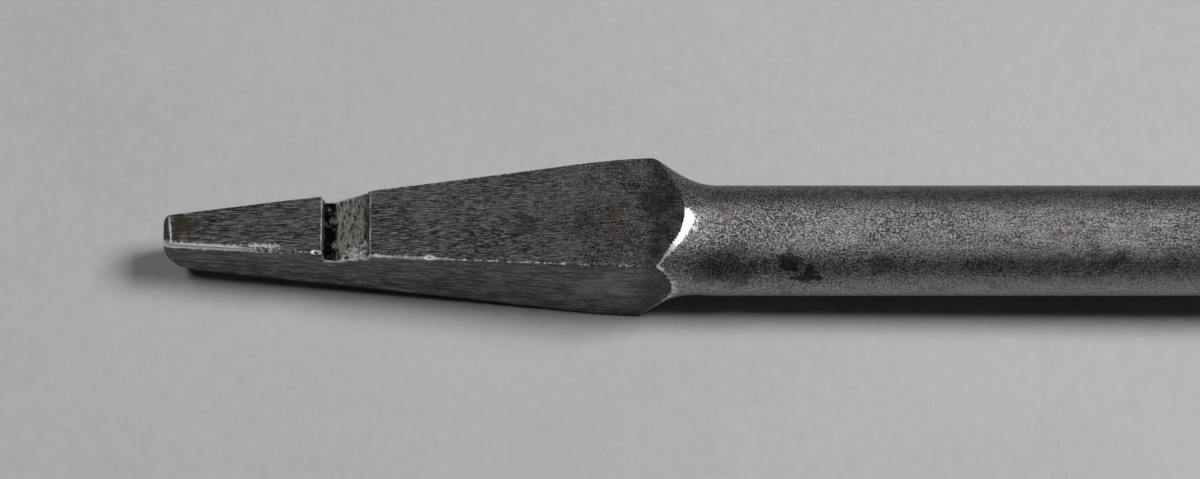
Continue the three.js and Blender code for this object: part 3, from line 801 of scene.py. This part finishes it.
def bright_steel():
    """Ground steel that has dulled: fine grinding lines, grey stain, dark specks, and brighter worn edges."""
    g = Graph("bright_worn_steel")
    clouds = g.noise(3.2, detail=5, rough=0.65, warp=0.4, shift=(6, 2, 8))
    grain = g.noise(0.7, detail=4, rough=0.75, shift=(1, 4, 9))
    speckle = g.noise(0.26, detail=4, rough=0.95, shift=(4, 4, 2))
    ground = g.noise(0.10, detail=3, rough=0.75, stretch=(1, 30, 1))
    color = g.mix(g.fit(g.lerp(0.5, clouds, grain), 0.42, 0.58), (0.20, 0.188, 0.178), (0.42, 0.41, 0.40))
    color = g.mix(g.times(g.fit(ground, 0.51, 0.58), 0.7), color, (0.62, 0.61, 0.60))
    color = g.mix(g.times(g.fit(ground, 0.48, 0.41), 0.6), color, (0.075, 0.068, 0.062))
    color = g.mix(g.fit(speckle, 0.45, 0.41), color, (0.040, 0.033, 0.029))
    rust = g.times(g.fit(g.noise(2.4, detail=5, rough=0.7, shift=(3, 14, 2)), 0.54, 0.66), 0.6)
    color = g.mix(rust, color, (0.16, 0.095, 0.066))

    # Graduations cut across the cutter's bar, a sixteenth of an inch apart, every fourth one long.
    scale = g.attribute("scale")
    along = g.math("DIVIDE", g.axis("Y"), TICK_SPACING)
    tick = g.math("PINGPONG", along, 0.5)
    fourth = g.math("PINGPONG", g.math("DIVIDE", along, 4.0), 0.5)
    long_tick = g.fit(fourth, 0.12, 0.10)
    reach = g.math("SUBTRACT", g.axis("X"), TICK_ROOT_X)
    end = g.lerp(long_tick, TICK_LENGTH, LONG_TICK_LENGTH)
    fade_start = g.lerp(long_tick, TICK_LENGTH - TICK_FADE, LONG_TICK_LENGTH - TICK_FADE)
    in_reach = g.fit(reach, end, fade_start)
    cut = g.times(g.times(g.fit(tick, 0.06, 0.04), in_reach), scale)
    color = g.mix(g.times(cut, 0.9), color, (0.012, 0.010, 0.009))

    worn = g.ragged(g.attribute("eased"), grain, 1.6)
    bare = g.times(g.fit(worn, 0.55, 0.85), g.fit(g.attribute("eased"), 0.05, 0.3))
    color = g.mix(bare, color, (0.74, 0.735, 0.72))
    # Darker in the thread's roots.
    dark_in_hollows = g.attribute("dark_in_hollows")
    color = g.mix(g.times(dark_in_hollows, g.fit(grain, 0.70, 0.40)), color, (0.030, 0.022, 0.017))
    g.put(color, g.shader.inputs["Base Color"])
    g.shader.inputs["Metallic"].default_value = 1.0
    rough = g.fit(grain, 0.3, 0.7, 0.24, 0.40, smooth=False)
    rough = g.math("MULTIPLY_ADD", g.math("MAXIMUM", rust, dark_in_hollows), 0.25, rough)
    g.put(rough, g.shader.inputs["Roughness"])
    normal = g.bump(ground, 0.6, 0.04)
    normal = g.bump(g.fit(speckle, 0.40, 0.56), 0.45, 0.04, normal)
    normal = g.bump(cut, -1.0, 0.10, normal)
    g.put(normal, g.shader.inputs["Normal"])
    return g.material


def blued_steel():
    """Fire-blued steel: blue-black with browner clouds, and edges rubbed through to bare metal."""
    g = Graph("blued_steel")
    clouds = g.noise(1.8, detail=5, rough=0.65, warp=0.5, shift=(2, 3, 5))
    grain = g.noise(0.5, detail=4, rough=0.75, shift=(9, 1, 3))
    speckle = g.noise(0.22, detail=4, rough=0.95)
    color = g.mix(g.fit(clouds, 0.42, 0.58), (0.040, 0.052, 0.088), (0.078, 0.072, 0.080))
    color = g.mix(g.times(g.fit(clouds, 0.54, 0.66), 0.6), color, (0.100, 0.072, 0.056))
    color = g.mix(g.fit(speckle, 0.55, 0.60), color, (0.24, 0.24, 0.25))
    color = g.mix(g.fit(speckle, 0.45, 0.41), color, (0.012, 0.012, 0.014))
    worn = g.ragged(g.attribute("eased"), grain, 2.0)
    bare = g.times(g.fit(worn, 0.55, 0.90), g.fit(g.attribute("eased"), 0.05, 0.3))
    color = g.mix(bare, color, (0.60, 0.595, 0.59))
    g.put(color, g.shader.inputs["Base Color"])
    g.shader.inputs["Metallic"].default_value = 1.0
    g.put(g.fit(grain, 0.3, 0.7, 0.22, 0.40, smooth=False), g.shader.inputs["Roughness"])
    normal = g.bump(g.fit(speckle, 0.40, 0.58), 0.4, 0.03)
    normal = g.bump(grain, 0.3, 0.05, normal)
    g.put(normal, g.shader.inputs["Normal"])
    return g.material


# ---- Floor, lights and camera ------------------------------------------------------------------------------

# The sheet under the bit lies a little unevenly: places along X, and its height there over the underside.
SHEET_X = (-70.0, 0.0, 20.0, 48.0, 75.0, 100.0, 125.0, 150.0, 172.0, 260.0)
SHEET_HEIGHT = (1.6, 1.05, 0.62, 0.0, -0.55, -1.0, -1.05, -0.6, 0.0, 0.0)
SHEET_HALF_SIZE = 3000.0
SHEET_STEP = 2.0
SHEET_SMOOTHINGS = 12

# Each light's name, place and size in metres, and power in watts. They all look at one point on the bit.
LIGHTS = [
    ("right_box", (0.36, 0.060, 0.50), (0.20, 0.26), 2.30),
    ("left_box", (-0.25, 0.030, 0.50), (0.18, 0.10), 0.64),
    ("window", (0.62, -0.02, 0.20), (0.05, 0.30), 0.10),
]
LIGHT_TARGET = (0.05, 0, 0)
ROOM_COLOR = (0.007, 0.007, 0.008)


def make_floor():
    """A pale sheet, gently uneven along X and straight along Y."""
    inner = np.arange(SHEET_X[0], SHEET_X[-1] + 1, SHEET_STEP)
    height = np.interp(inner, SHEET_X, SHEET_HEIGHT)
    for _ in range(SHEET_SMOOTHINGS):
        height[1:-1] = (height[:-2] + 2 * height[1:-1] + height[2:]) / 4
    lengthwise = np.concatenate([[-SHEET_HALF_SIZE], inner, [SHEET_HALF_SIZE]])
    level = np.concatenate([[height[0]], height, [height[-1]]]) + body_low.z
    verts = [(x, y, z) for x, z in zip(lengthwise, level) for y in (-SHEET_HALF_SIZE, SHEET_HALF_SIZE)]
    faces = [(2 * n, 2 * n + 2, 2 * n + 3, 2 * n + 1) for n in range(len(lengthwise) - 1)]
    floor = new_object("floor", verts, faces)
    g = Graph("pale_table")
    paper = g.noise(1.1, detail=5, rough=0.8, stretch=(1, 1.6, 1))
    broad = g.noise(26.0, detail=3, rough=0.5, shift=(3, 1, 0))
    mottle = g.lerp(0.35, paper, broad)
    g.put(g.mix(g.fit(mottle, 0.35, 0.65), *PAPER_TONES), g.shader.inputs["Base Color"])
    g.shader.inputs["Roughness"].default_value = 0.7
    floor.data.materials.append(g.material)


def area_light(name, place, size, power):
    light = bpy.data.lights.new(name, "AREA")
    light.shape = "RECTANGLE"
    light.size, light.size_y = size
    light.energy = power
    lamp = bpy.data.objects.new(name, light)
    bpy.context.scene.collection.objects.link(lamp)
    lamp.location = place
    lamp.rotation_euler = (Vector(place) - Vector(LIGHT_TARGET)).to_track_quat("Z", "Y").to_euler()


def make_lights():
    """Two soft boxes overhead, the stronger one to the right, a faint low strip, and a nearly dark room."""
    for light in LIGHTS:
        area_light(*light)
    world = bpy.data.worlds.new("room")
    bpy.context.scene.world = world
    world.use_nodes = True
    background = world.node_tree.nodes["Background"]
    background.inputs["Color"].default_value = (*ROOM_COLOR, 1)
    background.inputs["Strength"].default_value = 1.0


def make_camera():
    """A long lens, looking down on the tang and the start of the shank from the photograph's angle."""
    camera = bpy.data.cameras.new("camera")
    camera.sensor_width = 36
    camera.lens = camera.sensor_width * CAMERA_DISTANCE / (VIEW_WIDTH * MM)
    camera.clip_end = 10
    eye = bpy.data.objects.new("camera", camera)
    bpy.context.scene.collection.objects.link(eye)
    back = Vector((0, -math.cos(VIEW_ELEVATION), math.sin(VIEW_ELEVATION)))
    aim = Vector((AIM_X * MM, 0, 0)) + Vector(VIEW_UP) * AIM_UP * MM
    eye.location = aim + back * CAMERA_DISTANCE
    eye.rotation_euler = back.to_track_quat("Z", "Y").to_euler()
    bpy.context.scene.camera = eye


# ---- Build -------------------------------------------------------------------------------------------------

bpy.context.scene.view_settings.view_transform = "Standard"
make_floor()
make_lights()
make_camera()

forged, bright, blued = forged_steel(), bright_steel(), blued_steel()
body = make_body()
body.data.materials.append(forged)
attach(body, "bit")
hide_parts("bit_body")

pin_shape = eased_shape("lead_screw_pin", PIN_EASE)
clamp_shape = eased_shape("clamp_plate", CLAMP_EASE)
screw_shape = eased_shape("clamp_screw", SCREW_EASE)
finish_piece("lead_screw_piece", lead_screw_shape(), "bit", "lead_screw", bright)
finish_piece("lead_screw_pin_piece", pin_shape, "bit", "lead_screw_pin", bright)
finish_piece("sliding_cutter_piece", cutter_shape(), "cutter", "sliding_cutter", bright)
finish_piece("clamp_plate_piece", clamp_shape, "clamp", "clamp_plate", forged)
finish_piece("clamp_screw_piece", screw_shape, "screw", "clamp_screw", blued)
